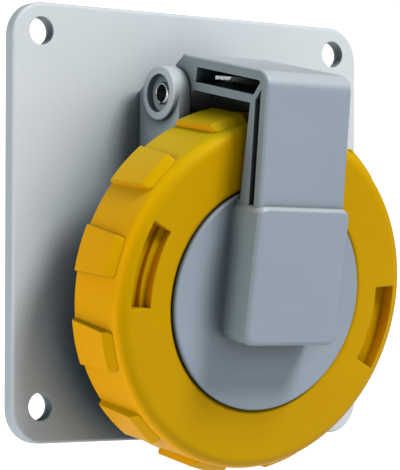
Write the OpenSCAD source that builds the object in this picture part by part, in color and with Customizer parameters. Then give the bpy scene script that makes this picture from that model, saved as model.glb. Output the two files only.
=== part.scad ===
// Angled industrial panel socket: a flanged housing with a tilted collar, a sprung lid
// on a hinge arm, and a bayonet ring that turns on the lid and pulls it onto the collar.
// The frame's origin is the middle of the four fixing holes on the flange's seating face.
// +Z is up, +Y goes into the panel and the socket faces -Y.

/* [Flange] */
// Width of the mounting flange
flange_w = 100; // [96:1:120]
// Height of the mounting flange
flange_h = 100; // [98:1:120]
// Thickness of the flange
flange_t = 3.2; // [2.8:0.1:4.5]
// Corner radius of the flange
flange_corner = 8; // [5:0.5:11]
// Rounding of the flange's front edge
flange_edge = 0.8; // [0.3:0.1:1.2]
// Distance of the fixing holes from the flange's edges
hole_inset = 7.5; // [6:0.25:8.5]
// Diameter of the fixing holes
hole_d = 6.4; // [4.5:0.1:7]
// Distance of the flange's middle below the middle of the holes
flange_drop = 0.9; // [0:0.1:1.5]
// Width of the seal cord in the flange's rear face
seal_w = 2.2; // [1.6:0.1:3]
// Depth of the seal cord
seal_t = 1.5; // [1:0.1:2]
// Distance of the seal from the flange's edge
seal_inset = 2.5; // [2:0.1:3.5]
// Least distance between the seal and a fixing hole
seal_clear = 1; // [0.6:0.1:1.4]

/* [Socket axis] */
// Downward tilt of the socket
tilt = 10; // [8:0.5:12]
// Distance from the seating face to the middle of the lid's face
face_out = 32.5; // [32:0.25:35]
// Distance of the middle of the lid's face below the middle of the holes
face_drop = 18; // [17:0.25:19]

/* [Collar] */
// Inner radius of the collar, round the plug
collar_bore_r = 29.2; // [28.6:0.1:29.4]
// Outer radius of the collar and of the barrel behind the panel
collar_r = 31.4; // [31.2:0.1:32]
// Depth of the collar's rim below the lid's face
rim_depth = 8.5; // [8.4:0.1:9]
// Depth of the barrel's rear end below the lid's face
barrel_depth = 46; // [44:0.5:50]
// Width of the plug's keyway
keyway_w = 8; // [6:0.5:10]
// Depth of the keyway in the collar's wall
keyway_depth = 1.6; // [1:0.1:1.9]
// Height of the collar's wall left whole behind the keyway
keyway_foot = 3; // [2:0.5:5]
// Rounding of the collar's rim
rim_r = 0.7; // [0.4:0.1:0.9]

/* [Bayonet] */
// Outer radius of the cams on the collar
cam_r = 35.2; // [34.8:0.1:35.3]
// Depth of the cams' front below the lid's face
cam_depth = 10; // [9.6:0.1:10.6]
// Thickness of the cams
cam_t = 3.5; // [2.6:0.1:3.6]
// Length of the thinner lead-in of a cam, in degrees of the ring
cam_lead = 7; // [5:0.5:9]
// How much thinner the lead-in is
cam_lead_t = 1.2; // [0.6:0.1:1.4]
// Length of the stop beside a cam, in degrees of the ring
stop_span = 3; // [2:0.5:3.5]
// Gap between a cam and its stop, in degrees of the ring
stop_gap = 0.5; // [0.3:0.1:0.8]
// Inner radius of the ring's lugs
lug_r = 34.3; // [34:0.1:34.6]
// How much shorter a lug is than its window, in degrees of the ring
lug_short = 0.6; // [0.4:0.1:1]
// Thickness of the lugs
lug_t = 3; // [2:0.1:3.4]
// Gap between a lug's front and the cam that it slides behind
lug_gap = 0.4; // [0.3:0.05:0.8]
// Turn that locks the ring, in degrees
lock_turn = 40; // [36:1:41]

/* [Locking ring] */
// Radius of the ring's outside at the front
ring_r = 40.1; // [39.6:0.1:40.3]
// Radius of the ring's outside at the rear
ring_rear_r = 40.5; // [40.3:0.1:41]
// Depth of the ring's front below the lid's face
ring_depth = 0.8; // [0.4:0.1:1.2]
// Length of the ring
ring_l = 17.5; // [17.3:0.1:18]
// Thickness of the ring's front wall
ring_front_t = 3.2; // [2.6:0.1:3.3]
// Inner radius of the ring's skirt
skirt_r = 37.5; // [37.4:0.1:37.8]
// Rounding of the ring's outer front edge
ring_edge = 3; // [2:0.1:3.4]
// Rounding of the ring's inner front edge
ring_lip = 1.2; // [0.6:0.1:1.6]
// Number of grip nubs round the ring
nub_count = 12; // [8:1:14]
// Radius over the grip nubs
nub_r = 41.8; // [41.4:0.1:42.2]
// Width of a nub at its rear, in degrees of the ring
nub_span = 14.8; // [10:0.2:16]
// Angle of the first nub
nub_at = 18.4; // [0:0.2:30]
// How much narrower a nub is at its front
nub_taper = 1.6; // [1:0.1:2.4]
// Corner radius of a nub's front
nub_corner = 1.2; // [0.8:0.1:1.6]
// Length of the slope at a nub's front
nub_slope = 2; // [1:0.1:3]
// Bevel of a nub's rear edge
nub_bevel = 0.4; // [0.2:0.1:0.5]
// Distance of the nubs from the ring's rear edge
nub_rear = 0.4; // [0.2:0.1:1]
// Angle of the middle of the left window
window_at = 168.8; // [166:0.2:172]
// Length of a window, in degrees of the ring
window_span = 31.4; // [24:0.2:31.6]
// Inner radius of the windows
window_in_r = 32; // [31.4:0.1:32.6]
// Radius where the ledge in a window ends
window_ledge_r = 33.7; // [33.4:0.1:34.1]
// Outer radius of the windows
window_out_r = 37.2; // [36.6:0.1:37.3]
// Depth of the ledge in a window
window_ledge = 2; // [1.2:0.1:2.4]
// How far the snap ribs reach in behind the plate that they hold
rib_reach = 0.4; // [0.3:0.05:0.5]
// Gap between the snap ribs and that plate
rib_gap = 0.4; // [0.3:0.05:0.6]
// Thickness of the snap ribs
rib_t = 1.4; // [1:0.1:1.8]
// Length of a snap rib, in degrees of the ring
rib_span = 12; // [8:1:16]
// Step between the snap ribs, in degrees of the ring
rib_step = 35; // [30:1:40]

/* [Lid] */
// Radius of the lid's disc
disc_r = 26; // [25.6:0.1:26.4]
// Thickness of the disc
disc_t = 4.2; // [4.1:0.1:4.3]
// Rounding of the disc's edge
disc_edge = 0.7; // [0.3:0.1:1]
// Width of the grip block
block_w = 25.8; // [25:0.1:27]
// Distance of the block's top above the disc's middle
block_top = 21.9; // [21:0.1:22.4]
// Distance of the block's foot below the disc's middle
block_foot = 9.2; // [7:0.1:12]
// Height of the block above the disc
block_out = 10; // [9.6:0.1:11]
// Corner radius of the block
block_corner = 2.4; // [2:0.1:3.4]
// Rounding of the block's front edge
block_edge = 1.2; // [0.6:0.1:1.6]
// Wall of the hollow block
block_wall = 2.4; // [2:0.1:2.8]

/* [Hinge arm] */
// Width of the arm
arm_w = 24; // [23:0.1:24.2]
// Height of the arm's outer corner above the disc's middle
arm_top = 51.5; // [51.2:0.1:52]
// Distance of the arm's outer corner in front of the lid's face
arm_out = 6.5; // [6.3:0.1:7]
// Slope of the arm's top
arm_top_lean = 1.7; // [1.2:0.1:2]
// Slope of the arm's front
arm_front_lean = 3.9; // [3.4:0.1:4.2]
// Outer radius of the arm's bend
arm_bend = 4.2; // [3:0.1:5]
// Thickness of the arm's outer wall
arm_wall = 2.4; // [2:0.1:2.6]
// Rounding of the outer wall's long edges
arm_edge = 0.9; // [0.3:0.1:1.1]
// Thickness of the arm's inner wall
arm_inner_wall = 1.9; // [1.6:0.1:2.1]
// Height of the hollow in the arm's top
arm_top_gap = 3.4; // [3:0.1:3.6]
// Thickness of the hollow in the arm's front
arm_front_gap = 1.9; // [1.5:0.1:2.1]
// Thickness of the rib across the arm's corner
arm_rib = 1.3; // [1:0.1:2]
// Thickness of the web that closes the hollow
arm_web = 1.6; // [1.2:0.1:2.4]
// Distance of the web from the arm's middle
arm_web_at = 8; // [-8:0.5:9]
// Distance of the lip's bend outside the hinge pin
arm_lip_out = 2.2; // [2:0.1:2.6]
// Length of the lip behind the pin
lip_l = 4.2; // [3.6:0.1:4.4]
// Slope of the lip, in degrees
lip_lean = 48; // [44:1:52]
// Height of the fillet inside the lip's bend, in walls
lip_fillet = 1.3; // [1.1:0.1:1.6]

/* [Hinge] */
// Distance of the hinge pin in front of the flange
hinge_out = 9.3; // [9.3:0.1:10]
// Height of the hinge pin above the middle of the holes
hinge_up = 29.1; // [28.6:0.1:29.6]
// Diameter of the hinge pin
pin_d = 5.2; // [4.6:0.1:5.6]
// Wall of the rolled hinge pin
pin_wall = 0.6; // [0.4:0.05:0.9]
// Bevel of the pin's ends
pin_bevel = 0.3; // [0.2:0.05:0.35]
// Slot along the rolled pin
pin_slot = 0.9; // [0.5:0.1:1.4]
// Radius of the bosses on the hinge ears
boss_r = 6.3; // [5.8:0.1:6.5]
// Thickness of a hinge ear at its boss
ear_t = 4.5; // [4:0.1:6]
// Distance of the ear's web behind the boss's face
ear_step = 1.4; // [0.8:0.1:2]
// Rounding of a boss's edge
boss_edge = 0.5; // [0.2:0.1:0.8]
// Height of the ear's foot on the flange above the pin
ear_rise = 1.2; // [0:0.1:3]
// How far the ears reach down past the pin, into the neck
ear_drop = 17; // [16.5:0.1:18.5]
// Radius of the recess round the pin's end
recess_r = 4.4; // [3.6:0.1:5]
// Depth of the recess round the pin's end
recess_depth = 1.6; // [1:0.1:2.2]
// Depth of the pin's end below the boss's face
pin_sink = 0.9; // [0.4:0.1:1.2]
// Radius of the arm's knuckles
knuckle_r = 6; // [5.4:0.1:6.2]
// Width of each knuckle
knuckle_w = 5.5; // [4:0.1:6]
// Wire diameter of the hinge spring
spring_wire = 0.8; // [0.6:0.05:0.9]
// Middle radius of the spring's coils
spring_r = 3.8; // [3.6:0.1:3.9]
// Number of spring turns
spring_turns = 7; // [4:1:9]
// Reach of the spring's leg along the arm
spring_leg = 9; // [7:0.5:9.5]
// Rise of that leg over its length
spring_leg_rise = 0.3; // [0.2:0.1:0.4]
// Reach of the spring's other leg towards the flange
spring_tail = 6; // [5:0.5:6.5]
// Room round the spring's coils
spring_gap = 0.5; // [0.4:0.05:0.6]
// Distance of the spring's hood below the knuckles' outside
hood_sink = 0.4; // [0.3:0.1:0.5]
// Angle where the spring's hood starts, up from the way out of the socket
hood_from = 50; // [40:5:60]
// Distance that the knuckles' cheeks reach outside the knuckles
cheek_out = 1.5; // [1:0.1:2]
// Distance of the cheeks' rear corner below the lip
cheek_step = 0.6; // [0.4:0.1:0.8]

/* [Contacts] */
// Radius of the contact carrier inside the plug's sleeve
carrier_r = 22.8; // [22:0.1:23.4]
// Depth of the carrier's face below the lid's face
carrier_depth = 12; // [11:0.1:14]
// Radius of the circle through the contacts
contact_circle = 14; // [13.4:0.1:14.4]
// Diameter of a live pin of the plug
pin_hole_d = 6; // [5:0.1:6.4]
// Diameter of the plug's earth pin
earth_hole_d = 8; // [7:0.1:8.4]
// Wall of a contact sleeve
sleeve_wall = 1.25; // [1:0.05:1.5]
// Depth of a contact's mouth below the carrier's face
sleeve_depth = 2; // [1.2:0.1:3]
// Length of the bore in a contact
sleeve_l = 30; // [26:0.5:31]
// Angle of the earth contact, four o'clock seen from the front
earth_at = -30; // [-30:30:-30]
// Slot between a contact's fingers
finger_slot = 0.8; // [0.5:0.1:1]
// Thickness of the carrier's foot
foot_t = 3; // [2.4:0.1:4]
// Height of the carrier's step that centres it in the barrel
spigot_l = 2; // [1.5:0.1:3]
// Rounding of the carrier's front edge
carrier_edge = 1; // [0.6:0.1:1.4]
// Distance of the retainer's screws outside the circle of the contacts
retainer_screw_out = 4; // [3:0.1:4.4]
// Length of the carrier's hub behind its foot
hub_l = 9; // [8.4:0.1:12]
// Radius of the carrier's hub
hub_r = 24; // [23.2:0.1:26]
// Thickness of the plate that holds the contacts in
retainer_t = 3; // [2.4:0.1:4]
// Radius of the hole for a wire in a contact's tail
wire_hole_r = 2.6; // [2.2:0.05:2.7]
// Wall of a contact's tail round the wire
tail_wall = 2.6; // [2.2:0.1:2.8]
// Thickness of the wall between a contact's bore and its wire hole
contact_web = 1; // [0.8:0.1:1.4]
// Bevel of a contact's mouth
contact_mouth = 0.6; // [0.3:0.1:0.9]
// Radius of a terminal screw
terminal_r = 1.6; // [1.3:0.1:1.7]
// Radius of a terminal screw's head
terminal_head_r = 2.3; // [2.2:0.1:2.4]
// Height of a terminal screw's head
terminal_head_t = 1.6; // [1.2:0.1:2]
// Distance of a terminal screw's head outside the contact
terminal_out = 1.2; // [0.8:0.1:1.6]
// Depth of a terminal screw's tip short of the contact's axis
terminal_tip = 2; // [2:0.1:2.4]
// Radius of the hole that a terminal screw is reached through
terminal_hole_r = 2.6; // [2.5:0.1:3]
// Thickness of the plate under a terminal screw's tip
clamp_t = 0.8; // [0.6:0.05:0.8]
// Width of that plate
clamp_w = 2.8; // [2.4:0.1:3]
// Length of that plate
clamp_l = 6; // [4:0.5:7]
// Distance of that plate from the contact's axis
clamp_at = 1.2; // [1:0.1:1.2]
// Thickness of the spring clip round a contact's fingers
clip_t = 0.6; // [0.4:0.1:0.7]
// Length of that clip
clip_l = 3; // [2:0.5:4]
// Distance of the clip's rear from the contact's mouth
clip_back = 5; // [4.5:0.5:6]
// Gap in that clip
clip_slot = 1; // [0.6:0.1:1.6]

/* [Seals and screws] */
// Thickness of the plate behind the disc
liner_t = 2; // [1.8:0.1:2.1]
// Radius of the plate behind the disc
liner_r = 33.2; // [33.1:0.05:33.4]
// Width of the lid's seal
gasket_w = 3.8; // [3:0.1:4]
// Thickness of the lid's seal
gasket_t = 2.1; // [1.9:0.05:2.25]
// Thickness of the ring between the barrel and the carrier
carrier_seal_t = 1.2; // [0.8:0.1:1.6]
// Distance of that ring from the barrel's edges
carrier_seal_edge = 0.6; // [0.5:0.05:0.7]
// Radius of the small screws' shanks
screw_r = 1.25; // [1:0.05:1.4]
// Radius of the small screws' heads
screw_head_r = 2.6; // [2.2:0.1:2.8]
// Height of the small screws' heads
screw_head_t = 1.7; // [1.2:0.1:2]
// Width of the slot in a screw's head
screw_slot = 0.8; // [0.6:0.1:1]
// Depth of the retainer's and the lid's screws in their holes
small_screw_l = 6; // [4:0.5:6.5]
// Depth of the carrier's screws in the barrel
carrier_screw_l = 7; // [5:0.5:8]
// Radius of the bosses round the small screws
screw_boss_r = 3; // [2.8:0.1:3.2]

/* [Clearances] */
// Radial gap of the ring on the disc and of the arm on its pin
turn_gap = 0.06; // [0.03:0.01:0.1]
// Gap between the arm and the ears
side_gap = 0.3; // [0.2:0.05:0.6]
// Gap round fixed parts that slot into each other
seat_gap = 0.1; // [0.05:0.01:0.2]
// Gap between a pin of the plug and its contact
pin_gap = 0.05; // [0.03:0.01:0.08]
// Room for a contact's fingers to spread
finger_room = 0.9; // [0.8:0.1:1.2]
// Length of that room
finger_room_l = 9; // [7:0.5:12]
// Gap round a screw in the part that it holds
screw_gap = 0.3; // [0.2:0.05:0.4]
// Gap round a wire in the plate that holds the contacts
wire_gap = 0.6; // [0.3:0.1:0.8]
// Room past a screw's tip in its hole
tip_room = 2; // [1.5:0.1:2.4]
// Room past a screw's tip in the lid's posts
post_room = 3; // [2:0.1:3.4]
// Gap between the arm's back and the ring's face
ring_gap = 1.7; // [1.3:0.1:2]

/* [Hidden] */
$fn = 96;

eps = 0.01;
lap = 1;
far = 60;
boss_overlap = 1.4;
post_overlap = 0.6;
post_lap = 0.2;
root_sink = 0.3;
bend_share = 0.3;
grey = [0.62, 0.65, 0.68];
light_grey = [0.72, 0.74, 0.76];
yellow = [0.86, 0.65, 0.02];
black = [0.12, 0.12, 0.13];
brass = [0.78, 0.64, 0.34];
steel = [0.66, 0.67, 0.69];

// The flange and its seal
flange_x = flange_w / 2;
flange_z = flange_h / 2;
hole_x = flange_x - hole_inset;
hole_z = flange_z - hole_inset;
seal_reach = flange_z + flange_drop - seal_inset;
seal_miss = hole_d / 2 + seal_clear;
seal_corner = (seal_miss + sqrt(2) * (seal_reach - hole_z)) / (sqrt(2) - 1);

// The hinge axis in the socket's own frame: up the lid, and out of it
rise = hinge_up + face_drop;
run = face_out - flange_t - hinge_out;
hinge_v = rise * cos(tilt) + run * -sin(tilt);
hinge_n = -rise * sin(tilt) - run * cos(tilt);
ear_in = arm_w / 2 + side_gap;
ear_out = ear_in + ear_t;
pin_r = pin_d / 2;

// The ring, its windows and its bayonet
ring_back = -ring_depth - ring_l;
ring_bore_r = disc_r + turn_gap;
front_back = -ring_depth - ring_front_t;
lug_front = -cam_depth - cam_t - lug_gap;
lug_back = lug_front - lug_t;
cam_at = window_at - lock_turn;
nub_front = -ring_depth - ring_edge;
ring_root_r = (skirt_r + ring_r) / 2;

// The arm: corner points are pairs of height up the lid and distance out of it
function top_line(n, depth) = arm_top + tan(arm_top_lean) * (arm_out - n) - depth / cos(arm_top_lean);
function front_line(v, depth) =
    arm_out + tan(arm_front_lean) * (arm_top - v) - depth / cos(arm_front_lean);
inner_top = arm_wall + arm_top_gap;
inner_front = arm_wall + arm_front_gap;
arm_back = -ring_depth + ring_gap;
web_top = arm_wall * 0.75;
knuckle_in = arm_w / 2 - knuckle_w;
bend_turn = 90 - arm_top_lean - arm_front_lean;
bend_in = arm_bend / (1 + cos(bend_turn));
bend_v = arm_top - bend_in * (cos(arm_top_lean) + sin(arm_front_lean));
bend_n = arm_out - bend_in * (sin(arm_top_lean) + cos(arm_front_lean));
spring_room_r = spring_r + spring_wire / 2 + spring_gap;
hood_t = knuckle_r - hood_sink - spring_room_r;
arm_end = hinge_n + arm_lip_out;
arm_foot = block_top - lap;

// The contacts, along the socket's axis
sleeve_front = -carrier_depth - sleeve_depth;
sleeve_back = sleeve_front - sleeve_l;
hub_back = -barrel_depth - foot_t - hub_l;
tail_l = hub_l + 1;
tail_front = hub_back + tail_l;
screw_n = hub_back + tail_l / 2;
screw_circle = collar_r + screw_boss_r - boss_overlap;
retainer_circle = contact_circle + retainer_screw_out;
liner_back = -disc_t - liner_t;
gasket_r = (collar_bore_r + collar_r) / 2;
post_in = block_wall + screw_boss_r - post_overlap;
post_u = block_w / 2 - post_in;
post_low = -block_foot + post_in;
post_high = block_top - post_in;
post_l = disc_t + block_out - block_wall + post_lap;
post_hole_l = small_screw_l + post_room;
shank_r = screw_r - seat_gap / 2;

// Puts a shape in the socket's frame: x across, y up the lid, z out of it
module on_axis() {
    translate([0, -face_out, -face_drop]) rotate([90 + tilt, 0, 0]) children();
}

// Extrudes an outline of height and distance out across the lid, centred
module across(width) {
    rotate([90, 0, 90]) translate([0, 0, -width / 2]) linear_extrude(width) children();
}

// A square outline with its two upper corners rounded
module round_top_outline(width, height, r) {
    translate([-width / 2, 0]) square([width, height - r]);
    translate([-width / 2 + r, 0]) square([width - 2 * r, height]);
    for (side = [-1, 1]) translate([side * (width / 2 - r), height - r]) circle(r);
}

// A plate with round corners and a rounded front edge, its back on the xy plane
module rounded_plate(width, height, thick, corner, edge) {
    rotate([90, 0, 0]) translate([0, 0, -(height / 2 - corner)])
        linear_extrude(height - 2 * corner) round_top_outline(width, thick, edge);
    rotate([90, 0, 90]) translate([0, 0, -(width / 2 - corner)])
        linear_extrude(width - 2 * corner) round_top_outline(height, thick, edge);
    for (x = [-1, 1], y = [-1, 1])
        translate([x * (width / 2 - corner), y * (height / 2 - corner)])
            rotate_extrude() intersection() {
                round_top_outline(2 * corner, thick, edge);
                square([corner, thick]);
            }
}

// A loop with round corners, for the seal and its groove
module seal_loop(grow) {
    half_w = flange_x - seal_inset + grow;
    half_h = flange_z - seal_inset + grow;
    corner = seal_corner + grow;
    square([2 * half_w, 2 * (half_h - corner)], center = true);
    square([2 * (half_w - corner), 2 * half_h], center = true);
    for (x = [-1, 1], y = [-1, 1])
        translate([x * (half_w - corner), y * (half_h - corner)]) circle(corner);
}

// A sector of a tube about the socket's axis, centred on an angle
module tube_sector(r_in, r_out, low, high, middle, span) {
    rotate([0, 0, middle - span / 2]) rotate_extrude(angle = span)
        translate([r_in, low]) square([r_out - r_in, high - low]);
}

module at_contact(angle) {
    rotate([0, 0, angle]) translate([contact_circle, 0, 0]) children();
}

module flange_plate() {
    translate([0, 0, -flange_drop]) rotate([90, 0, 0])
        rounded_plate(flange_w, flange_h, flange_t, flange_corner, flange_edge);
}

module collar_outline() {
    translate([collar_bore_r - lap, -barrel_depth])
        square([collar_r - collar_bore_r + lap, barrel_depth - rim_depth - rim_r]);
    translate([collar_bore_r - lap, -rim_depth - rim_r - eps])
        square([collar_r - collar_bore_r + lap - rim_r, rim_r + eps]);
    translate([collar_r - rim_r, -rim_depth - rim_r]) circle(rim_r);
}

// A bayonet cam: full depth at the stop, thinner where a lug first slides behind it
module cam() {
    middle = window_span - cam_lead;
    tube_sector(collar_r - lap, cam_r, -cam_depth - cam_t, -cam_depth,
        cam_at - cam_lead / 2, middle);
    tube_sector(collar_r - lap, cam_r, -cam_depth - cam_t + cam_lead_t, -cam_depth,
        cam_at + middle / 2 + eps, cam_lead);
    tube_sector(collar_r - lap, cam_r, lug_back, -cam_depth,
        cam_at - window_span / 2 - stop_gap - stop_span / 2, stop_span);
}

// The side view of an ear's web: from the flange over the pin and down to the neck
module ear_outline() {
    reach = norm([hinge_out, ear_rise]);
    touch = atan2(ear_rise, hinge_out) + acos(boss_r / reach);
    translate([-flange_t - hinge_out, hinge_up]) {
        circle(boss_r);
        polygon([
            [hinge_out + flange_t / 2, ear_rise],
            [hinge_out, ear_rise],
            [boss_r * cos(touch), boss_r * sin(touch)],
            [-boss_r, 0],
            [-boss_r, -ear_drop],
            [hinge_out + flange_t / 2, -ear_drop]
        ]);
    }
}

module ear(side) {
    step = side > 0 ? ear_in : -ear_out + ear_step;
    translate([step, 0, 0]) rotate([90, 0, 90]) linear_extrude(ear_t - ear_step) ear_outline();
    translate([side > 0 ? ear_in : -ear_in, -flange_t - hinge_out, hinge_up])
        rotate([0, side * 90, 0]) rotate_extrude() intersection() {
            round_top_outline(2 * boss_r, ear_t, boss_edge);
            square([boss_r, ear_t]);
        }
}

module housing() {
    color(light_grey) difference() {
        union() {
            flange_plate();
            on_axis() rotate_extrude() collar_outline();
            on_axis() for (half = [0, 180]) rotate([0, 0, half]) cam();
            intersection() {
                on_axis() for (k = [0 : 3]) rotate([0, 0, 45 + 90 * k])
                    translate([screw_circle, 0, -barrel_depth]) cylinder(r = screw_boss_r, h = far);
                translate([-far, -flange_t / 2, -far]) cube(2 * far);
            }
            for (side = [-1, 1]) ear(side);
        }
        on_axis() {
            translate([0, 0, -2 * far]) cylinder(r = collar_bore_r, h = 3 * far);
            translate([-keyway_w / 2, -collar_bore_r - keyway_depth, -barrel_depth + keyway_foot])
                cube([keyway_w, collar_bore_r, far]);
            for (k = [0 : 3]) rotate([0, 0, 45 + 90 * k])
                translate([screw_circle, 0, -barrel_depth - eps])
                    cylinder(r = screw_r, h = carrier_screw_l + tip_room);
        }
        for (x = [-1, 1], z = [-1, 1])
            translate([x * hole_x, lap, z * hole_z]) rotate([90, 0, 0])
                cylinder(d = hole_d, h = flange_t + 2 * lap);
        translate([0, eps, -flange_drop]) rotate([90, 0, 0]) linear_extrude(seal_t + eps)
            difference() {
                seal_loop(0);
                seal_loop(-seal_w);
            }
        translate([-far, -flange_t - hinge_out, hinge_up]) rotate([0, 90, 0])
            cylinder(r = pin_r, h = 2 * far);
        for (side = [-1, 1])
            translate([side * (ear_out - recess_depth), -flange_t - hinge_out, hinge_up])
                rotate([0, side * 90, 0]) cylinder(r = recess_r, h = far);
    }
}

module panel_gasket() {
    color(black) translate([0, 0, -flange_drop]) rotate([90, 0, 0])
        linear_extrude(seal_t) difference() {
            seal_loop(0);
            seal_loop(-seal_w);
        }
}

module hinge_pin() {
    half = ear_out - pin_sink;
    color(steel) translate([0, -flange_t - hinge_out, hinge_up]) rotate([0, 90, 0])
        difference() {
            rotate_extrude() polygon([
                [pin_r - pin_wall, -half], [pin_r - pin_bevel, -half],
                [pin_r, -half + pin_bevel], [pin_r, half - pin_bevel],
                [pin_r - pin_bevel, half], [pin_r - pin_wall, half]
            ]);
            translate([0, -pin_slot / 2, -far]) cube([far, pin_slot, 2 * far]);
        }
}

// A wire of round section through a list of points, closed at both ends
module wire(points, r, sides = 8) {
    count = len(points);
    rings = [
        for (i = [0 : count - 1])
            let (
                ahead = points[min(i + 1, count - 1)],
                behind = points[max(i - 1, 0)],
                way = (ahead - behind) / norm(ahead - behind),
                side = cross(way, [1, 0, 0.001]) / norm(cross(way, [1, 0, 0.001])),
                up = cross(side, way)
            )
            for (k = [0 : sides - 1])
                points[i] + r * (cos(360 * k / sides) * side + sin(360 * k / sides) * up)
    ];
    skin = [
        for (i = [0 : count - 2], k = [0 : sides - 1])
            let (next = (k + 1) % sides)
            [i * sides + k, (i + 1) * sides + k, (i + 1) * sides + next, i * sides + next]
    ];
    first = [for (k = [0 : sides - 1]) k];
    last = [for (k = [sides - 1 : -1 : 0]) (count - 1) * sides + k];
    polyhedron(rings, concat([first], skin, [last]));
}

// The torsion spring round the pin: one leg on the arm's inner wall, one at the flange
module hinge_spring() {
    steps = 16;
    half = knuckle_in - spring_wire;
    total = spring_turns * steps + steps / 2;
    coil = [
        for (i = [0 : total])
            let (turn = 90 - 360 * i / steps)
            [-half + 2 * half * i / total,
             hinge_v + spring_r * sin(turn), hinge_n - spring_r * cos(turn)]
    ];
    leg = [
        for (i = [3 : -1 : 1])
            [-half, hinge_v + spring_r + spring_leg_rise * i / 3, hinge_n + spring_leg * i / 3]
    ];
    tail = [
        for (i = [1 : 2])
            [half, hinge_v - spring_r, hinge_n - spring_tail * i / 2]
    ];
    color(steel) on_axis() wire(concat(leg, coil, tail), spring_wire / 2);
}

function contact_hole_r(earth) = (earth ? earth_hole_d : pin_hole_d) / 2 + pin_gap;
function contact_angles() = [earth_at + 120, earth_at + 240, earth_at];
function is_earth(angle) = angle == earth_at;

// What is cut from the carrier for one contact
module contact_space(earth) {
    sleeve_r = contact_hole_r(earth) + sleeve_wall;
    translate([0, 0, tail_front - eps]) cylinder(r = sleeve_r + seat_gap, h = far);
    translate([0, 0, sleeve_front - finger_room_l])
        cylinder(r = sleeve_r + finger_room, h = finger_room_l);
    translate([0, 0, hub_back - eps])
        cylinder(r = contact_hole_r(earth) + tail_wall + seat_gap, h = tail_l + seat_gap + eps);
    translate([0, 0, screw_n]) rotate([0, 90, 0]) cylinder(r = terminal_hole_r, h = far);
}

module contact_carrier() {
    shoulder = -carrier_depth - carrier_edge;
    color(black) on_axis() difference() {
        union() {
            rotate_extrude() {
                translate([0, hub_back]) square([hub_r, hub_l + foot_t]);
                translate([0, -barrel_depth - foot_t]) square([collar_r, foot_t]);
                translate([0, -barrel_depth - eps])
                    square([collar_bore_r - seat_gap, spigot_l + eps]);
                translate([0, -barrel_depth]) square([carrier_r, barrel_depth + shoulder]);
                translate([0, shoulder - eps])
                    square([carrier_r - carrier_edge, carrier_edge + eps]);
                translate([carrier_r - carrier_edge, shoulder]) circle(carrier_edge);
            }
            for (k = [0 : 3]) rotate([0, 0, 45 + 90 * k])
                translate([screw_circle, 0, -barrel_depth - foot_t])
                    cylinder(r = screw_boss_r, h = foot_t);
        }
        for (angle = contact_angles()) at_contact(angle) contact_space(is_earth(angle));
        for (k = [0 : 3]) rotate([0, 0, 45 + 90 * k])
            translate([screw_circle, 0, -barrel_depth - far])
                cylinder(r = screw_r + screw_gap, h = 2 * far);
        for (angle = contact_angles()) rotate([0, 0, angle + 60])
            translate([retainer_circle, 0, hub_back - eps])
                cylinder(r = screw_r, h = small_screw_l + tip_room);
        seal_space();
    }
}

// The groove in the carrier's foot, and the ring that fills it
module seal_space() {
    rotate_extrude() translate([collar_bore_r + carrier_seal_edge, -barrel_depth - carrier_seal_t])
        square([collar_r - collar_bore_r - 2 * carrier_seal_edge, carrier_seal_t]);
}

module carrier_seal() {
    color([0.2, 0.2, 0.21]) on_axis() seal_space();
}

module contact_retainer() {
    color(black) on_axis() difference() {
        translate([0, 0, hub_back - retainer_t]) cylinder(r = hub_r, h = retainer_t);
        for (angle = contact_angles()) {
            at_contact(angle) translate([0, 0, hub_back - far])
                cylinder(r = wire_hole_r + wire_gap, h = 2 * far);
            rotate([0, 0, angle + 60]) translate([retainer_circle, 0, hub_back - far])
                cylinder(r = screw_r + screw_gap, h = 2 * far);
        }
    }
}

// A turned contact: a slotted sleeve for the pin and a tail for the wire
module contact(angle) {
    hole_r = contact_hole_r(is_earth(angle));
    sleeve_r = hole_r + sleeve_wall;
    mouth_r = hole_r + contact_mouth;
    color(brass) on_axis() at_contact(angle) difference() {
        rotate_extrude() difference() {
            union() {
                translate([0, hub_back]) square([hole_r + tail_wall, tail_l]);
                translate([0, tail_front - eps])
                    square([sleeve_r, sleeve_front - tail_front + eps]);
            }
            translate([0, sleeve_back]) square([hole_r, sleeve_l + lap]);
            translate([0, hub_back - eps]) square([wire_hole_r, tail_l - contact_web]);
            polygon([
                [hole_r - eps, sleeve_front - contact_mouth], [mouth_r, sleeve_front],
                [mouth_r, sleeve_front + lap], [hole_r - eps, sleeve_front + lap]
            ]);
        }
        for (turn = [0, 90]) rotate([0, 0, 45 + turn])
            translate([-far, -finger_slot / 2, sleeve_front - sleeve_l / 2])
                cube([2 * far, finger_slot, far]);
        translate([0, 0, screw_n]) rotate([0, 90, 0])
            cylinder(r = terminal_r + seat_gap, h = far);
    }
}

module line_contact() { contact(contact_angles()[0]); }
module neutral_contact() { contact(contact_angles()[1]); }
module earth_contact() { contact(contact_angles()[2]); }

module contact_springs() {
    color(steel) on_axis() for (angle = contact_angles()) at_contact(angle)
        translate([0, 0, sleeve_front - clip_back]) difference() {
            sleeve_r = contact_hole_r(is_earth(angle)) + sleeve_wall;
            cylinder(r = sleeve_r + clip_t, h = clip_l);
            translate([0, 0, -lap]) cylinder(r = sleeve_r, h = clip_l + 2 * lap);
            translate([0, -clip_slot / 2, -lap]) cube([far, clip_slot, clip_l + 2 * lap]);
        }
}

module wire_clamps() {
    color(steel) on_axis() for (angle = contact_angles()) at_contact(angle)
        translate([clamp_at, -clamp_w / 2, screw_n - clamp_l / 2])
            cube([clamp_t, clamp_w, clamp_l]);
}

// A screw with a slotted head: its shank runs up from the head's underside
module slotted_screw(shank_r, shank_l, head_r, head_t) {
    difference() {
        union() {
            translate([0, 0, -eps]) cylinder(r = shank_r, h = shank_l + eps);
            translate([0, 0, -head_t]) cylinder(r = head_r, h = head_t);
        }
        translate([-far, -screw_slot / 2, -head_t - eps])
            cube([2 * far, screw_slot, head_t / 2 + eps]);
    }
}

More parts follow.
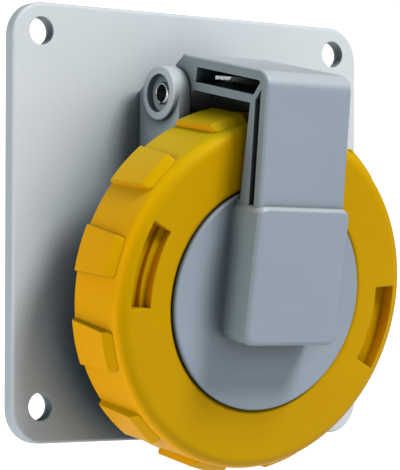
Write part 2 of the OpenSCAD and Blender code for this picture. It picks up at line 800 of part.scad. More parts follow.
module terminal_screws() {
    color(steel) on_axis() for (angle = contact_angles()) at_contact(angle) {
        head_at = contact_hole_r(is_earth(angle)) + tail_wall + terminal_out;
        translate([head_at, 0, screw_n]) rotate([0, -90, 0])
            slotted_screw(terminal_r, head_at - terminal_tip, terminal_head_r, terminal_head_t);
    }
}

module retainer_screws() {
    color(steel) on_axis() for (angle = contact_angles()) rotate([0, 0, angle + 60])
        translate([retainer_circle, 0, hub_back - retainer_t])
            slotted_screw(shank_r, retainer_t + small_screw_l, screw_head_r, screw_head_t);
}

module carrier_screws() {
    color(steel) on_axis() for (k = [0 : 3]) rotate([0, 0, 45 + 90 * k])
        translate([screw_circle, 0, -barrel_depth - foot_t])
            slotted_screw(shank_r, foot_t + carrier_screw_l, screw_head_r, screw_head_t);
}

// The outer wall's section: radius from the bend's centre, and across
module arm_section(inset) {
    translate([arm_bend - arm_wall + inset, 0]) rotate(-90)
        round_top_outline(arm_w - 2 * inset, arm_wall - 2 * inset, arm_edge);
}

// Sweeps the section over the top, round the bend and down the front
module arm_outer_wall() {
    top_l = (bend_n - arm_end) / cos(arm_top_lean) + arm_bend * tan(arm_top_lean);
    front_l = (bend_v - arm_foot) / cos(arm_front_lean);
    translate([0, bend_v, bend_n]) rotate([90, 0, 90]) {
        rotate(arm_top_lean) rotate([90, 0, 0]) linear_extrude(top_l) arm_section(0);
        rotate(arm_top_lean - 1) rotate_extrude(angle = bend_turn + 2) arm_section(eps);
        rotate(arm_top_lean + bend_turn) rotate([-90, 0, 0]) linear_extrude(front_l)
            arm_section(0);
    }
}

// The end of the outer wall, bent down behind the pin
module arm_lip_outline() {
    corner = [top_line(arm_end, 0), arm_end];
    way = [-sin(90 - lip_lean), -sin(lip_lean)];
    inward = [way[1], -way[0]];
    polygon([
        corner, corner + lip_l * way, corner + lip_l * way + arm_wall * inward,
        corner + lip_fillet * arm_wall * inward, corner + [-arm_wall, lap]
    ]);
}

// The band between two depths under the arm's outer surface, down to the block
module arm_band(top_depth, front_depth, under_top, back_n, far_n) {
    corner_v = top_line(arm_out - front_depth, top_depth);
    polygon([
        [top_line(far_n, top_depth), far_n],
        [corner_v, front_line(corner_v, front_depth)],
        [arm_foot, front_line(arm_foot, front_depth)],
        [arm_foot, back_n],
        [top_line(back_n, under_top), back_n],
        [top_line(far_n, under_top), far_n]
    ]);
}

// The rib across the hollow, from the inner wall's corner to the bend
module corner_rib_outline() {
    corner_v = top_line(arm_out - inner_front, inner_top);
    corner_n = front_line(corner_v, inner_front);
    span = norm([arm_top - corner_v, arm_out - corner_n]) - arm_bend * bend_share - arm_wall / 2;
    translate([corner_v, corner_n]) rotate(atan2(arm_out - corner_n, arm_top - corner_v))
        translate([-lap, -arm_rib / 2]) square([span + lap, arm_rib]);
}

module cheek_outline() {
    front = hinge_n + knuckle_r + cheek_out;
    translate([hinge_v, hinge_n]) circle(knuckle_r);
    polygon([
        [hinge_v, hinge_n - knuckle_r],
        [top_line(arm_end, 0) - lip_l * cos(lip_lean) - cheek_step, arm_end - lip_l * sin(lip_lean)],
        [top_line(arm_end, arm_wall / 2), arm_end],
        [top_line(front, arm_wall / 2), front],
        [top_line(front, inner_top + arm_inner_wall / 2), front],
        [hinge_v, hinge_n + knuckle_r]
    ]);
}

// The wall round the front of the spring, joining the knuckles
module spring_hood() {
    translate([0, hinge_v, hinge_n]) rotate([90, 0, 90]) rotate(hood_from)
        rotate_extrude(angle = 180 - hood_from)
            translate([spring_room_r, -knuckle_in - lap / 2])
                square([hood_t, 2 * knuckle_in + lap]);
}

module arm() {
    inner_w = arm_w - 2 * eps;
    cheek_w = knuckle_w - eps;
    arm_outer_wall();
    across(inner_w) arm_lip_outline();
    across(inner_w) arm_band(inner_top, inner_front, inner_top + arm_inner_wall, arm_back,
        hinge_n + knuckle_r);
    translate([arm_web_at, 0, 0]) across(arm_web)
        arm_band(web_top, web_top, inner_top + arm_inner_wall / 2, arm_back + root_sink,
            hinge_n + knuckle_r);
    across(inner_w) corner_rib_outline();
    for (side = [-1, 1]) translate([side * (knuckle_in + cheek_w / 2), 0, 0])
        across(cheek_w) cheek_outline();
    spring_hood();
    intersection() {
        cylinder(r = disc_r - disc_edge, h = arm_out);
        translate([-inner_w / 2, arm_foot, 0]) cube([inner_w, far, arm_back + root_sink]);
    }
}

module grip_block() {
    translate([0, (block_top - block_foot) / 2, -lap])
        rounded_plate(block_w, block_top + block_foot, block_out + lap, block_corner, block_edge);
}

module block_hollow() {
    translate([-block_w / 2 + block_wall, -block_foot + block_wall, -disc_t - eps])
        cube([block_w - 2 * block_wall, block_top + block_foot - 2 * block_wall,
            block_out - block_wall + disc_t]);
}

module at_posts() {
    for (side = [-1, 1], v = [post_low, post_high]) translate([side * post_u, v, 0]) children();
}

module lid() {
    color(grey) on_axis() difference() {
        union() {
            difference() {
                union() {
                    rotate_extrude() {
                        translate([0, -disc_t]) square([disc_r, disc_t - disc_edge]);
                        translate([0, -disc_edge - eps])
                            square([disc_r - disc_edge, disc_edge + eps]);
                        translate([disc_r - disc_edge, -disc_edge]) circle(disc_edge);
                    }
                    grip_block();
                    arm();
                }
                block_hollow();
            }
            at_posts() translate([0, 0, -disc_t]) cylinder(r = screw_boss_r, h = post_l);
        }
        at_posts() translate([0, 0, -disc_t - eps]) cylinder(r = screw_r, h = post_hole_l);
        translate([-far, hinge_v, hinge_n]) rotate([0, 90, 0])
            cylinder(r = pin_r + turn_gap, h = 2 * far);
        translate([-knuckle_in, hinge_v, hinge_n]) rotate([0, 90, 0])
            cylinder(r = spring_room_r, h = 2 * knuckle_in);
    }
}

module lid_liner() {
    color(grey) on_axis() difference() {
        translate([0, 0, liner_back]) cylinder(r = liner_r, h = liner_t);
        at_posts() translate([0, 0, liner_back - lap])
            cylinder(r = screw_r + screw_gap, h = liner_t + 2 * lap);
    }
}

module lid_gasket() {
    color(black) on_axis() rotate_extrude()
        translate([gasket_r - gasket_w / 2, liner_back - gasket_t]) square([gasket_w, gasket_t]);
}

module liner_screws() {
    color(steel) on_axis() at_posts() translate([0, 0, liner_back])
        slotted_screw(shank_r, liner_t + small_screw_l, screw_head_r, screw_head_t);
}

// A quarter disc that rounds an edge: the quarter points at +x +y, turned by steps of 90
module edge_quarter(r, turn) {
    rotate(turn) intersection() {
        circle(r);
        square(r);
    }
}

module ring_outline() {
    lip_at = ring_bore_r + ring_lip;
    edge_at = ring_r - ring_edge;
    polygon([
        [ring_bore_r, front_back], [ring_bore_r, -ring_depth - ring_lip],
        [lip_at, -ring_depth], [edge_at, -ring_depth],
        [ring_r, -ring_depth - ring_edge], [ring_rear_r, ring_back],
        [skirt_r, ring_back], [skirt_r, front_back]
    ]);
    translate([lip_at, -ring_depth - ring_lip]) edge_quarter(ring_lip, 90);
    translate([edge_at, -ring_depth - ring_edge]) edge_quarter(ring_edge, 0);
}

// One nub's outline seen from outside the ring: along the rim and along the axis
module nub_outline() {
    rear_w = 2 * nub_r * sin(nub_span / 2);
    front_w = rear_w - nub_taper;
    polygon([
        [-rear_w / 2, ring_back], [rear_w / 2, ring_back],
        [front_w / 2, nub_front - nub_corner], [front_w / 2 - nub_corner, nub_front],
        [-front_w / 2 + nub_corner, nub_front], [-front_w / 2, nub_front - nub_corner]
    ]);
    for (side = [-1, 1])
        translate([side * (front_w / 2 - nub_corner), nub_front - nub_corner])
            circle(nub_corner);
}

module nubs() {
    rear = ring_back + nub_rear;
    intersection() {
        rotate_extrude() polygon([
            [ring_root_r, rear], [nub_r - nub_bevel, rear], [nub_r, rear + nub_bevel],
            [nub_r, nub_front - nub_slope], [ring_r + seat_gap, nub_front],
            [ring_root_r, nub_front]
        ]);
        for (k = [0 : nub_count - 1]) rotate([0, 0, nub_at + k * 360 / nub_count])
            rotate([90, 0, 90]) linear_extrude(nub_r + lap) nub_outline();
    }
}

module window(angle) {
    tube_sector(window_in_r, window_out_r, -ring_depth - window_ledge, lap, angle, window_span);
    tube_sector(window_ledge_r, window_out_r, front_back - lap, lap, angle, window_span);
}

module lug(angle) {
    tube_sector(lug_r, ring_root_r, lug_back, lug_front, angle, window_span - lug_short);
}

// Small ribs that snap in behind the liner and keep the ring on the lid
module snap_rib(angle) {
    rib_front = liner_back - rib_gap;
    tube_sector(liner_r - rib_reach, ring_root_r, rib_front - rib_t, rib_front, angle, rib_span);
}

module locking_ring() {
    color(yellow) on_axis() difference() {
        union() {
            rotate_extrude() ring_outline();
            nubs();
            for (half = [0, 180]) {
                lug(window_at + half);
                for (k = [-1 : 1]) snap_rib(window_at + 90 + half + rib_step * k);
            }
        }
        for (half = [0, 180]) window(window_at + half);
    }
}

housing();
panel_gasket();
hinge_pin();
hinge_spring();
contact_carrier();
contact_retainer();
line_contact();
neutral_contact();
earth_contact();
contact_springs();
wire_clamps();
terminal_screws();
retainer_screws();
carrier_screws();
carrier_seal();
lid();
lid_liner();
lid_gasket();
liner_screws();
locking_ring();
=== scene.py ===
import math

import bpy
import numpy as np
from mathutils import Matrix, Vector


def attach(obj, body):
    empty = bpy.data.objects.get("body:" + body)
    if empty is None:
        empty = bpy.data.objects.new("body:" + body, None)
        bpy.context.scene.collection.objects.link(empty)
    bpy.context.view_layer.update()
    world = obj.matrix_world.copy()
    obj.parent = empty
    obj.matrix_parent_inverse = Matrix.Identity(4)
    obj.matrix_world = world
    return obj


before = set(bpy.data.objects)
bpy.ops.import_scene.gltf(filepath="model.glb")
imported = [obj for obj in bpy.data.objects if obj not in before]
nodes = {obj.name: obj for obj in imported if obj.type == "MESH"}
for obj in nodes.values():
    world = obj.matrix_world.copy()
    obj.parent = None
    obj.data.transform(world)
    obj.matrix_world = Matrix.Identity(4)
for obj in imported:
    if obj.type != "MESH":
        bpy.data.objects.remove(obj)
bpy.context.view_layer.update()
scene = bpy.context.scene
print("frame loaded:", len(nodes), "nodes")

# The socket's own axes: across, up the lid, and out of it along the plug. They start at the
# middle of the lid's face
socketAxis = {"centre": (0.0, -0.0325, -0.018), "tilt": 10.0}
tilt = math.radians(socketAxis["tilt"])
centre = np.array(socketAxis["centre"])
across = np.array([1.0, 0.0, 0.0])
upLid = np.array([0.0, -math.sin(tilt), math.cos(tilt)])
outward = np.array([0.0, -math.cos(tilt), -math.sin(tilt)])

# Ends for a range that grows from none to all, or falls from all to none
rising = (0.0, 1.0)
falling = (1.0, 0.0)


# Builds in a node tree. A socket is fed by a plain value or by another socket
class Tree:
    def __init__(self, tree):
        self.tree = tree

    def add(self, kind, **values):
        node = self.tree.nodes.new(kind)
        for key, value in values.items():
            setattr(node, key, value)
        return node

    def link(self, source, target):
        self.tree.links.new(source, target)

    def feed(self, value, target):
        if isinstance(value, (int, float, tuple)):
            target.default_value = value
        else:
            self.link(value, target)

    def math(self, operation, a, b):
        node = self.add("ShaderNodeMath", operation=operation)
        self.feed(a, node.inputs[0])
        self.feed(b, node.inputs[1])
        return node.outputs["Value"]

    # The cosine between two directions of length one
    def dot(self, a, b):
        node = self.add("ShaderNodeVectorMath", operation="DOT_PRODUCT")
        self.feed(a, node.inputs[0])
        self.feed(b, node.inputs[1])
        return node.outputs["Value"]

    # Moves a value from one range to another, held at its ends
    def spread(self, value, ends, newEnds):
        node = self.add("ShaderNodeMapRange", clamp=True)
        labels = ("Value", "From Min", "From Max", "To Min", "To Max")
        for label, number in zip(labels, (value, *ends, *newEnds)):
            self.feed(number, node.inputs[label])
        return node.outputs["Result"]


# An empty shader node group: inputs are (name, value), outputs are (name, socket kind)
def newGroup(name, inputs, outputs):
    group = bpy.data.node_groups.new(name, "ShaderNodeTree")
    for label, value in inputs:
        socket = group.interface.new_socket(
            name=label, in_out="INPUT", socket_type="NodeSocketFloat"
        )
        socket.default_value = value
    for label, kind in outputs:
        group.interface.new_socket(name=label, in_out="OUTPUT", socket_type=kind)
    tree = Tree(group)
    return group, tree, tree.add("NodeGroupInput").outputs, tree.add("NodeGroupOutput").inputs


# Noise read at the piece's own coordinates, which are metres
def objectNoise(tree, scale, detail, rough, squeeze=None):
    spot = tree.add("ShaderNodeTexCoord").outputs["Object"]
    if squeeze is not None:
        mapping = tree.add("ShaderNodeMapping")
        tree.feed(squeeze, mapping.inputs["Scale"])
        tree.link(spot, mapping.inputs["Vector"])
        spot = mapping.outputs["Vector"]
    noise = tree.add("ShaderNodeTexNoise")
    tree.link(spot, noise.inputs["Vector"])
    tree.feed(scale, noise.inputs["Scale"])
    tree.feed(detail, noise.inputs["Detail"])
    tree.feed(rough, noise.inputs["Roughness"])
    return noise.outputs["Fac"]


mouldGrain = {
    "fine": {"detail": 3.0, "rough": 0.6},
    "slow": {"detail": 4.0, "rough": 0.55},
    "slowEnds": (0.3, 0.7),
}


# Fine grain of a spark-eroded mould, and slow patches where the melt flowed
def mouldGrainGroup():
    group, tree, given, made = newGroup(
        "mouldGrain",
        [("Grain Scale", 3200.0), ("Patch Scale", 60.0)],
        [("Height", "NodeSocketFloat"), ("Tone", "NodeSocketFloat")],
    )
    fine = objectNoise(tree, given["Grain Scale"], **mouldGrain["fine"])
    slow = objectNoise(tree, given["Patch Scale"], **mouldGrain["slow"])
    tree.link(fine, made["Height"])
    tree.link(tree.spread(slow, mouldGrain["slowEnds"], rising), made["Tone"])
    return group


# An edge shows where the rounded normal leaves the flat one: the ends are cosines between them
softEdge = {"samples": 6, "turnEnds": (0.985, 0.8)}


# Rounded edges: the normal turned over a small radius, and a mask of where it turned
def softEdgeGroup():
    group, tree, given, made = newGroup(
        "softEdge",
        [("Radius", 0.0004)],
        [("Normal", "NodeSocketVector"), ("Edge", "NodeSocketFloat")],
    )
    bevel = tree.add("ShaderNodeBevel", samples=softEdge["samples"])
    tree.link(given["Radius"], bevel.inputs["Radius"])
    flat = tree.add("ShaderNodeNewGeometry").outputs["Normal"]
    turned = tree.dot(bevel.outputs["Normal"], flat)
    tree.link(bevel.outputs["Normal"], made["Normal"])
    tree.link(tree.spread(turned, softEdge["turnEnds"], rising), made["Edge"])
    return group


cornerShade = {"samples": 8, "upperRight": (0.5, 0.0, 0.75)}


# Painted shade in corners, recesses and under overhangs: how much of the space within reach is
# closed, from none at Open up to all of it at Full. Lean tips the looked-at space towards the
# upper right, so that what overhangs from there counts most: this paints the shadow cast by
# light from the upper right
def cornerShadeGroup():
    group, tree, given, made = newGroup(
        "cornerShade",
        [("Reach", 0.006), ("Full", 0.25), ("Open", 1.0), ("Lean", 0.0)],
        [("Closed", "NodeSocketFloat")],
    )
    openness = tree.add("ShaderNodeAmbientOcclusion", samples=cornerShade["samples"])
    tree.link(given["Reach"], openness.inputs["Distance"])
    tip = tree.add("ShaderNodeVectorMath", operation="SCALE")
    tree.feed(cornerShade["upperRight"], tip.inputs[0])
    tree.link(given["Lean"], tip.inputs["Scale"])
    leaned = tree.add("ShaderNodeVectorMath", operation="ADD")
    tree.link(tree.add("ShaderNodeNewGeometry").outputs["Normal"], leaned.inputs[0])
    tree.link(tip.outputs["Vector"], leaned.inputs[1])
    unit = tree.add("ShaderNodeVectorMath", operation="NORMALIZE")
    tree.link(leaned.outputs["Vector"], unit.inputs[0])
    tree.link(unit.outputs["Vector"], openness.inputs["Normal"])
    closed = tree.spread(openness.outputs["AO"], (given["Full"], given["Open"]), falling)
    tree.link(closed, made["Closed"])
    return group


# Painted light and shade by which way a surface faces: walls are painted lighter or darker
# than faces, and what looks up is painted in a tone of its own. Wall is the normal dotted with
# the socket's outward axis, full where the surface stands along the axis and none where it
# looks out of the socket. Crown is the normal dotted with the way up the lid, full where the
# surface looks up
def paintedFacingLightGroup():
    group, tree, given, made = newGroup(
        "paintedFacingLight",
        [("Wall At", 0.3), ("Face At", 0.85), ("Crown At", 0.9), ("Flank At", 0.25)],
        [("Wall", "NodeSocketFloat"), ("Crown", "NodeSocketFloat")],
    )
    normal = tree.add("ShaderNodeTexCoord").outputs["Normal"]
    out = tree.dot(normal, tuple(outward))
    rise = tree.dot(normal, tuple(upLid))
    tree.link(tree.spread(out, (given["Wall At"], given["Face At"]), falling), made["Wall"])
    tree.link(tree.spread(rise, (given["Flank At"], given["Crown At"]), rising), made["Crown"])
    return group


turnedMetal = {
    "lines": {"detail": 2.0, "rough": 0.5, "squeeze": (0.15, 4.0, 0.15)},
    "stain": {"scale": 220.0, "detail": 4.0, "rough": 0.6},
    "stainEnds": (0.35, 0.7),
}


# Fine turning lines across the depth, with slow stains
def turnedMetalGroup():
    group, tree, given, made = newGroup(
        "turnedMetal",
        [("Line Scale", 900.0)],
        [("Height", "NodeSocketFloat"), ("Stain", "NodeSocketFloat")],
    )
    lines = objectNoise(tree, given["Line Scale"], **turnedMetal["lines"])
    stain = objectNoise(tree, **turnedMetal["stain"])
    tree.link(lines, made["Height"])
    tree.link(tree.spread(stain, turnedMetal["stainEnds"], rising), made["Stain"])
    return group


groups = {
    "grain": mouldGrainGroup(),
    "edge": softEdgeGroup(),
    "corner": cornerShadeGroup(),
    "wall": paintedFacingLightGroup(),
    "metal": turnedMetalGroup(),
}
print("shader groups:", ", ".join(sorted(groups)))


# A group's node in a tree, with its inputs set by their names. It returns the outputs
def useGroup(tree, key, values):
    node = tree.add("ShaderNodeGroup", node_tree=groups[key])
    for label, value in values.items():
        tree.feed(value, node.inputs[label])
    return node.outputs


# A Mix node has sockets for each kind of value: these are the numbers of its colour sockets
colourSockets = {"a": 6, "b": 7, "result": 2}


def mixColour(tree, amount, a, b):
    mix = tree.add("ShaderNodeMix", data_type="RGBA", clamp_factor=True)
    tree.link(amount, mix.inputs["Factor"])
    for key, colour in (("a", a), ("b", b)):
        value = (*colour, 1.0) if isinstance(colour, tuple) else colour
        tree.feed(value, mix.inputs[colourSockets[key]])
    return mix.outputs[colourSockets["result"]]


def newMaterial(name):
    material = bpy.data.materials.new(name)
    material.use_nodes = True
    return material, Tree(material.node_tree), material.node_tree.nodes["Principled BSDF"]


surface = {"heightEnds": (0.3, 0.7), "bumpDepth": 0.0001, "cornerRough": 0.15}


# Small relief: the height bumps the normal of the rounded edges
def addBump(tree, shader, height, normal, strength):
    bump = tree.add("ShaderNodeBump")
    tree.feed(strength, bump.inputs["Strength"])
    tree.feed(surface["bumpDepth"], bump.inputs["Distance"])
    tree.link(height, bump.inputs["Height"])
    tree.link(normal, bump.inputs["Normal"])
    tree.link(bump.outputs["Normal"], shader.inputs["Normal"])


# A moulded plastic: patchy colour, painted light and shade on its walls and on what looks up,
# paler edges that are partly wear and partly painted highlight, painted shade in corners and
# under overhangs, and grain in the gloss
def mouldedPlastic(name, finish):
    material, tree, shader = newMaterial(name)
    grain = useGroup(
        tree, "grain", {"Grain Scale": finish["grain"], "Patch Scale": finish["patch"]}
    )
    edge = useGroup(tree, "edge", {"Radius": finish["radius"]})
    corner = useGroup(
        tree,
        "corner",
        {
            "Reach": finish["reach"],
            "Full": finish["full"],
            "Open": finish["open"],
            "Lean": finish["lean"],
        },
    )
    wall = useGroup(tree, "wall", {})
    # Paler edges: partly wear and partly a painted highlight along the rounded edges
    wornAndLitEdge = tree.math("MULTIPLY", edge["Edge"], finish["wearAndHighlight"])
    # Painted shade: the deep colour is mixed in where the corner shade finds the space closed,
    # and the gloss is rougher there
    paintedShade = tree.math("MULTIPLY", corner["Closed"], finish["shade"])
    base = mixColour(tree, grain["Tone"], finish["colour"], finish["shifted"])
    for amount, key in (
        (wall["Wall"], "wall"),
        (wall["Crown"], "crown"),
        (wornAndLitEdge, "edge"),
        (paintedShade, "deep"),
    ):
        base = mixColour(tree, amount, base, finish[key])
    tree.link(base, shader.inputs["Base Color"])
    rough = tree.spread(grain["Height"], surface["heightEnds"], finish["gloss"])
    rough = tree.math("ADD", rough, tree.math("MULTIPLY", paintedShade, surface["cornerRough"]))
    tree.link(rough, shader.inputs["Roughness"])
    addBump(tree, shader, grain["Height"], edge["Normal"], finish["bump"])
    tree.feed(finish["specular"], shader.inputs["Specular IOR Level"])
    tree.feed((*finish["shine"], 1.0), shader.inputs["Specular Tint"])
    return material


# A turned or pressed metal: fine lines in the gloss, slow stains, brighter edges
def machinedMetal(name, finish):
    material, tree, shader = newMaterial(name)
    metal = useGroup(tree, "metal", {"Line Scale": finish["lines"]})
    edge = useGroup(tree, "edge", {"Radius": finish["radius"]})
    base = mixColour(tree, metal["Stain"], finish["colour"], finish["stained"])
    wornAndLitEdge = tree.math("MULTIPLY", edge["Edge"], finish["wearAndHighlight"])
    base = mixColour(tree, wornAndLitEdge, base, finish["edge"])
    tree.link(base, shader.inputs["Base Color"])
    tree.feed(1.0, shader.inputs["Metallic"])
    rough = tree.spread(metal["Height"], surface["heightEnds"], finish["gloss"])
    tree.link(rough, shader.inputs["Roughness"])
    addBump(tree, shader, metal["Height"], edge["Normal"], finish["bump"])
    return material


# What the plastics share. A finish below adds its colours: colour and shifted are the two ends
# of the patches, wall and crown painted light and shade on walls and on what looks up, edge
# the edges, paler partly as wear and partly as painted highlight, and deep the painted shade
# in corners and under overhangs.
# The amount for edge and shade, the amount for deep, say how much of the last two shows. grain
# and patch are noise scales, radius the rounding of an edge, and shine the tint of the gloss
plasticBase = {
    "reach": 0.004,
    "full": 0.25,
    "open": 1.0,
    "lean": 0.0,
    "radius": 0.0004,
    "shine": (1.0, 1.0, 1.0),
}
plastics = {
    "housing_grey": {
        "colour": (0.57, 0.60, 0.625),
        "shifted": (0.55, 0.58, 0.605),
        # Painted light: walls and what looks up are painted darker than the faces, and the
        # deep colour with shade, reach and lean is a painted teal shadow cast by the ring and
        # ears on the flange
        "wall": (0.50, 0.56, 0.59),
        "crown": (0.46, 0.51, 0.54),
        "edge": (0.68, 0.72, 0.745),
        "deep": (0.012, 0.04, 0.052),
        "wearAndHighlight": 0.35,
        "shade": 0.92,
        "reach": 0.04,
        "full": 0.2,
        "open": 0.78,
        "lean": 0.8,
        "grain": 3600.0,
        "patch": 45.0,
        "gloss": (0.42, 0.55),
        "bump": 0.16,
        "specular": 0.35,
    },
    "lid_grey": {
        "colour": (0.265, 0.31, 0.36),
        "shifted": (0.25, 0.295, 0.345),
        # Painted light: walls darker as painted shade, the crown lighter as a painted
        # highlight on the arm's top and bend, and the deep colour near black as painted shade
        # in the arm's hollow
        "wall": (0.20, 0.25, 0.27),
        "crown": (0.42, 0.45, 0.48),
        "edge": (0.52, 0.57, 0.61),
        "deep": (0.003, 0.010, 0.010),
        "wearAndHighlight": 0.5,
        "shade": 0.95,
        "reach": 0.009,
        "full": 0.3,
        "open": 0.95,
        "grain": 3400.0,
        "patch": 60.0,
        "gloss": (0.36, 0.48),
        "bump": 0.16,
        "specular": 0.45,
    },
    "ring_yellow": {
        "colour": (0.52, 0.283, 0.0),
        "shifted": (0.50, 0.268, 0.0),
        # Painted light: walls lighter and more orange than the face, edges paler partly as
        # painted highlight, and deep a painted shade in corners
        "wall": (0.88, 0.40, 0.0),
        "crown": (0.45, 0.32, 0.0),
        "edge": (0.62, 0.43, 0.0),
        "deep": (0.30, 0.15, 0.0),
        "wearAndHighlight": 0.5,
        "shade": 0.7,
        "grain": 3000.0,
        "patch": 70.0,
        "radius": 0.0005,
        "gloss": (0.40, 0.52),
        "bump": 0.14,
        "specular": 0.25,
        "shine": (1.0, 0.75, 0.02),
    },
    "insert_black": {
        "colour": (0.022, 0.023, 0.025),
        "shifted": (0.030, 0.031, 0.033),
        "wall": (0.024, 0.025, 0.027),
        "crown": (0.022, 0.023, 0.025),
        "edge": (0.075, 0.077, 0.08),
        "deep": (0.008, 0.008, 0.009),
        "wearAndHighlight": 0.5,
        "shade": 0.5,
        "grain": 2600.0,
        "patch": 90.0,
        "radius": 0.0003,
        "gloss": (0.45, 0.62),
        "bump": 0.2,
        "specular": 0.4,
    },
    "seal": {
        "colour": (0.014, 0.014, 0.015),
        "shifted": (0.022, 0.022, 0.023),
        "wall": (0.017, 0.017, 0.018),
        "crown": (0.015, 0.015, 0.016),
        "edge": (0.05, 0.05, 0.052),
        "deep": (0.005, 0.005, 0.005),
        "wearAndHighlight": 0.35,
        "shade": 0.4,
        "grain": 2200.0,
        "patch": 120.0,
        "gloss": (0.62, 0.8),
        "bump": 0.3,
        "specular": 0.35,
    },
}
metalBase = {"radius": 0.0002, "wearAndHighlight": 0.5}
metals = {
    "brass": {
        "colour": (0.72, 0.52, 0.22),
        "stained": (0.58, 0.40, 0.16),
        "edge": (0.86, 0.68, 0.36),
        "lines": 1100.0,
        "gloss": (0.18, 0.34),
        "bump": 0.12,
    },
    "steel": {
        "colour": (0.62, 0.63, 0.65),
        "stained": (0.46, 0.47, 0.49),
        "edge": (0.82, 0.83, 0.84),
        "lines": 900.0,
        "gloss": (0.2, 0.38),
        "bump": 0.12,
    },
    "spring_steel": {
        "colour": (0.03, 0.032, 0.035),
        "stained": (0.02, 0.021, 0.023),
        "edge": (0.07, 0.072, 0.075),
        "lines": 1400.0,
        "gloss": (0.5, 0.65),
        "bump": 0.1,
    },
}
finishes = {}
for slot, values in plastics.items():
    finishes[slot] = mouldedPlastic(slot + "Finish", {**plasticBase, **values})
for slot, values in metals.items():
    finishes[slot] = machinedMetal(slot + "Finish", {**metalBase, **values})
for piece in nodes.values():
    for index, old in enumerate(piece.data.materials):
        piece.data.materials[index] = finishes[old.name.split(".")[0]]
# The spring's drawn wire is left near black: partly dark spring steel and partly painted
# shade, so that it stays dark in the arm's slot
nodes["hinge_spring"].data.materials[0] = finishes["spring_steel"]
print("finishes:", ", ".join(sorted(finishes)))


# A surface from a grid of points: each one joins its four neighbours, wrapped where closed
def gridMesh(name, rows, material, closedAcross=True, closedAlong=True):
    count, width = rows.shape[:2]
    points = rows.reshape(-1, rows.shape[-1])
    iEnd = count if closedAlong else count - 1
    jEnd = width if closedAcross else width - 1
    i, j = np.meshgrid(np.arange(iEnd), np.arange(jEnd), indexing="ij")
    nextI = (i + 1) % count
    nextJ = (j + 1) % width
    quads = np.stack(
        [i * width + j, nextI * width + j, nextI * width + nextJ, i * width + nextJ], axis=-1
    )
    corners = quads.shape[-1]
    mesh = bpy.data.meshes.new(name)
    mesh.vertices.add(len(points))
    mesh.vertices.foreach_set("co", points.astype(np.float32).ravel())
    mesh.loops.add(quads.size)
    mesh.loops.foreach_set("vertex_index", quads.astype(np.int32).ravel())
    mesh.polygons.add(quads.size // corners)
    mesh.polygons.foreach_set("loop_start", np.arange(0, quads.size, corners, dtype=np.int32))
    mesh.update(calc_edges=True)
    mesh.validate()
    mesh.shade_smooth()
    mesh.materials.append(material)
    piece = bpy.data.objects.new(name, mesh)
    scene.collection.objects.link(piece)
    return piece


# Points given across, up and out of the socket, in metres, moved to the shared frame
def onSocket(u, v, n):
    u, v, n = np.broadcast_arrays(u, v, n)
    return centre + u[..., None] * across + v[..., None] * upLid + n[..., None] * outward


# A ring swept from a closed section: each point is (radius + its outward step, its height),
# turned about the socket's axis by cosine and sine
def lipRing(name, radius, profile, material, turns=160):
    angle = np.linspace(0.0, 2.0 * math.pi, turns, endpoint=False)[:, None]
    r = radius + profile[None, :, 0]
    n = profile[None, :, 1]
    return gridMesh(name, onSocket(r * np.cos(angle), r * np.sin(angle), n), material)


# A half-round section: cosine across and sine up make an arch over a base sunk a little
def halfRound(width, height, base, sink=0.0002, count=18):
    t = np.linspace(0.0, math.pi, count)
    arch = np.stack([np.cos(t) * width / 2, base - np.sin(t) * height], axis=-1)
    foot = np.array([[-width / 2, base + sink], [width / 2, base + sink]])
    return np.vstack([arch, foot])


# Two lips on the rear face of the lid's seal, which lies behind the disc and its liner
gasketLips = {
    "radii": (0.0294, 0.0312),
    "width": 0.0008,
    "height": 0.0003,
    "disc": 0.0042,
    "liner": 0.002,
    "seal": 0.0021,
}
sealFace = -gasketLips["disc"] - gasketLips["liner"] - gasketLips["seal"]
lipSection = halfRound(gasketLips["width"], gasketLips["height"], sealFace)
for number, radius in enumerate(gasketLips["radii"], 1):
    lip = lipRing(f"gasket_lip_{number}", radius, lipSection, finishes["seal"])
    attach(lip, "lid")
print("gasket lips:", len(gasketLips["radii"]))

# The thin web behind the ring's front wall that closes its windows
windowFloor = {"inner": 0.03355, "outer": 0.0374, "front": -0.00395, "thick": 0.00035}
webWidth = windowFloor["outer"] - windowFloor["inner"]
webRear = windowFloor["front"] - windowFloor["thick"]
webSection = np.array(
    [
        [0.0, webRear],
        [webWidth, webRear],
        [webWidth, windowFloor["front"]],
        [0.0, windowFloor["front"]],
    ]
)
web = lipRing("ring_window_floor", windowFloor["inner"], webSection, finishes["ring_yellow"])
web.data.shade_flat()
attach(web, "ring")
print("window floor placed")

# A long lens from the front left. turn, rise and roll are degrees, lens and sensor millimetres
camera = {
    "spot": (-0.3269, -0.4527, -0.0198),
    "turn": 36.193,
    "rise": 1.731,
    "roll": 0.07,
    "lens": 180.1,
    "sensor": 36.0,
    "near": 0.01,
    "far": 20.0,
}
turn, rise = math.radians(camera["turn"]), math.radians(camera["rise"])
forward = Vector(
    (math.sin(turn) * math.cos(rise), math.cos(turn) * math.cos(rise), math.sin(rise))
)
right = forward.cross(Vector((0, 0, 1))).normalized()
up = right.cross(forward)
view = Matrix((right, up, -forward)).transposed().to_4x4()
view = view @ Matrix.Rotation(math.radians(camera["roll"]), 4, "Z")
cameraData = bpy.data.cameras.new("camera")
cameraData.lens = camera["lens"]
cameraData.sensor_width = camera["sensor"]
cameraData.sensor_fit = "AUTO"
cameraData.clip_start = camera["near"]
cameraData.clip_end = camera["far"]
cameraPiece = bpy.data.objects.new("camera", cameraData)
cameraPiece.matrix_world = Matrix.Translation(camera["spot"]) @ view
scene.collection.objects.link(cameraPiece)
scene.camera = cameraPiece

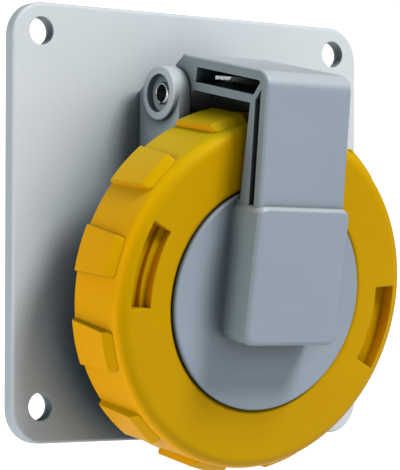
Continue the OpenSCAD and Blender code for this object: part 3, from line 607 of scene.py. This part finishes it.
# Round soft lamps, each turned to the same target, with their power in watts
studio = {
    "key": {"from": (0.3, -0.78, 0.82), "size": 0.4, "power": 15.0},
    "top": {"from": (0.0, -0.35, 0.95), "size": 0.4, "power": 2.0},
    "left": {"from": (-0.95, 0.03, 0.05), "size": 0.3, "power": 3.6},
}
lampTarget = Vector((0.0, -0.02, 0.0))
for name, lamp in studio.items():
    lampData = bpy.data.lights.new(name, "AREA")
    lampData.shape = "DISK"
    lampData.size = lamp["size"]
    lampData.energy = lamp["power"]
    lampPiece = bpy.data.objects.new(name, lampData)
    lampPiece.location = lamp["from"]
    aim = lampTarget - lampPiece.location
    lampPiece.rotation_euler = aim.to_track_quat("-Z", "Y").to_euler()
    scene.collection.objects.link(lampPiece)

# The background is bright white where it is seen, and faint and bluish where it only lights
backdrop = {
    "lightColour": (0.55, 0.88, 1.0),
    "seenColour": (1.0, 1.0, 1.0),
    "strengths": (0.08, 1.25),
}
world = bpy.data.worlds.new("studio")
world.use_nodes = True
scene.world = world
worldTree = Tree(world.node_tree)
background = world.node_tree.nodes["Background"].inputs
seen = worldTree.add("ShaderNodeLightPath").outputs["Is Camera Ray"]
backColour = mixColour(worldTree, seen, backdrop["lightColour"], backdrop["seenColour"])
worldTree.link(backColour, background["Color"])
worldTree.link(worldTree.spread(seen, rising, backdrop["strengths"]), background["Strength"])

floor = {
    "height": -0.14,
    "half": 0.8,
    "lines": 5,
    "finish": {
        "colour": (0.86, 0.87, 0.88),
        "shifted": (0.83, 0.84, 0.85),
        "wall": (0.85, 0.86, 0.87),
        "crown": (0.86, 0.87, 0.88),
        "edge": (0.86, 0.87, 0.88),
        # deep with shade is painted shade where the floor is closed in
        "deep": (0.7, 0.71, 0.72),
        "wearAndHighlight": 0.0,
        "shade": 0.2,
        "reach": 0.02,
        "grain": 300.0,
        "patch": 4.0,
        "radius": 0.0001,
        "gloss": (0.75, 0.85),
        "bump": 0.02,
        "specular": 0.2,
    },
}
side = np.linspace(-floor["half"], floor["half"], floor["lines"])
# X falls from row to row, so that the floor faces up
gridX, gridY = np.meshgrid(side[::-1], side, indexing="ij")
plane = np.stack([gridX, gridY, np.full_like(gridX, floor["height"])], axis=-1)
floorFinish = mouldedPlastic("floorFinish", {**plasticBase, **floor["finish"]})
ground = gridMesh("floor", plane, floorFinish, closedAcross=False, closedAlong=False)
scene.view_settings.view_transform = "Standard"
print("camera, lights and floor placed")
